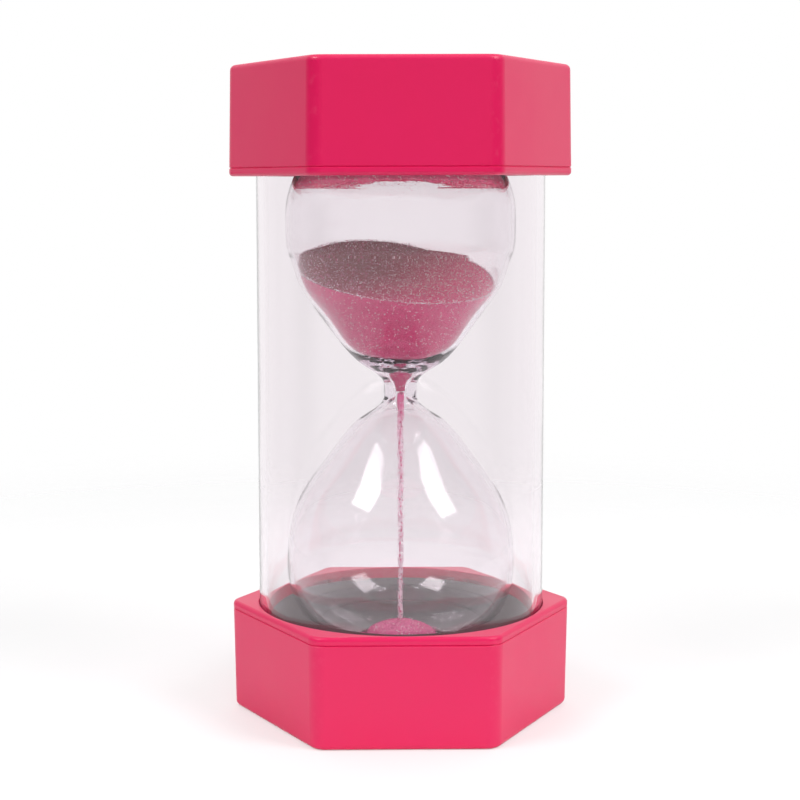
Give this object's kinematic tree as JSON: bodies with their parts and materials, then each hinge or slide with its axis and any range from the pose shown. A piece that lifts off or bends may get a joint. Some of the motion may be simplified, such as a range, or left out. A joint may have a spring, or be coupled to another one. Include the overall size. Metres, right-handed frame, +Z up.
{
  "type": "hourglass",
  "caption": "Hourglass with hexagonal plastic ends, a clear outer tube and a glass bulb with pink sand running through its waist.",
  "frame": {"origin": "centre of the base's flat underside", "axes": "+Z up along the tube's axis, from the base to the top; two flats of the hexagon face +Y and -Y, two corners lie on the X axis"},
  "size_m": [0.084, 0.074, 0.16],
  "materials": {
    "pink_plastic": "satin moulded plastic, fine texture",
    "grey_foam": "matt closed-cell foam",
    "clear_tube": "polished clear plastic tube",
    "clear_glass": "clear blown glass",
    "stopper_rubber": "matt moulded rubber",
    "pink_sand": "fine coloured sand with a little glitter"
  },
  "bodies": {
    "root": {"base_cap": "pink_plastic", "base_ring": "pink_plastic", "base_pad": "grey_foam", "base_cushion": "grey_foam", "outer_tube": "clear_tube", "glass_bulb": "clear_glass", "fill_stopper": "stopper_rubber", "sand_upper": "pink_sand", "sand_stream": "pink_sand", "sand_heap": "pink_sand", "top_cushion": "grey_foam", "top_pad": "grey_foam", "top_ring": "pink_plastic", "top_cap": "pink_plastic"}
  },
  "joints": []
}
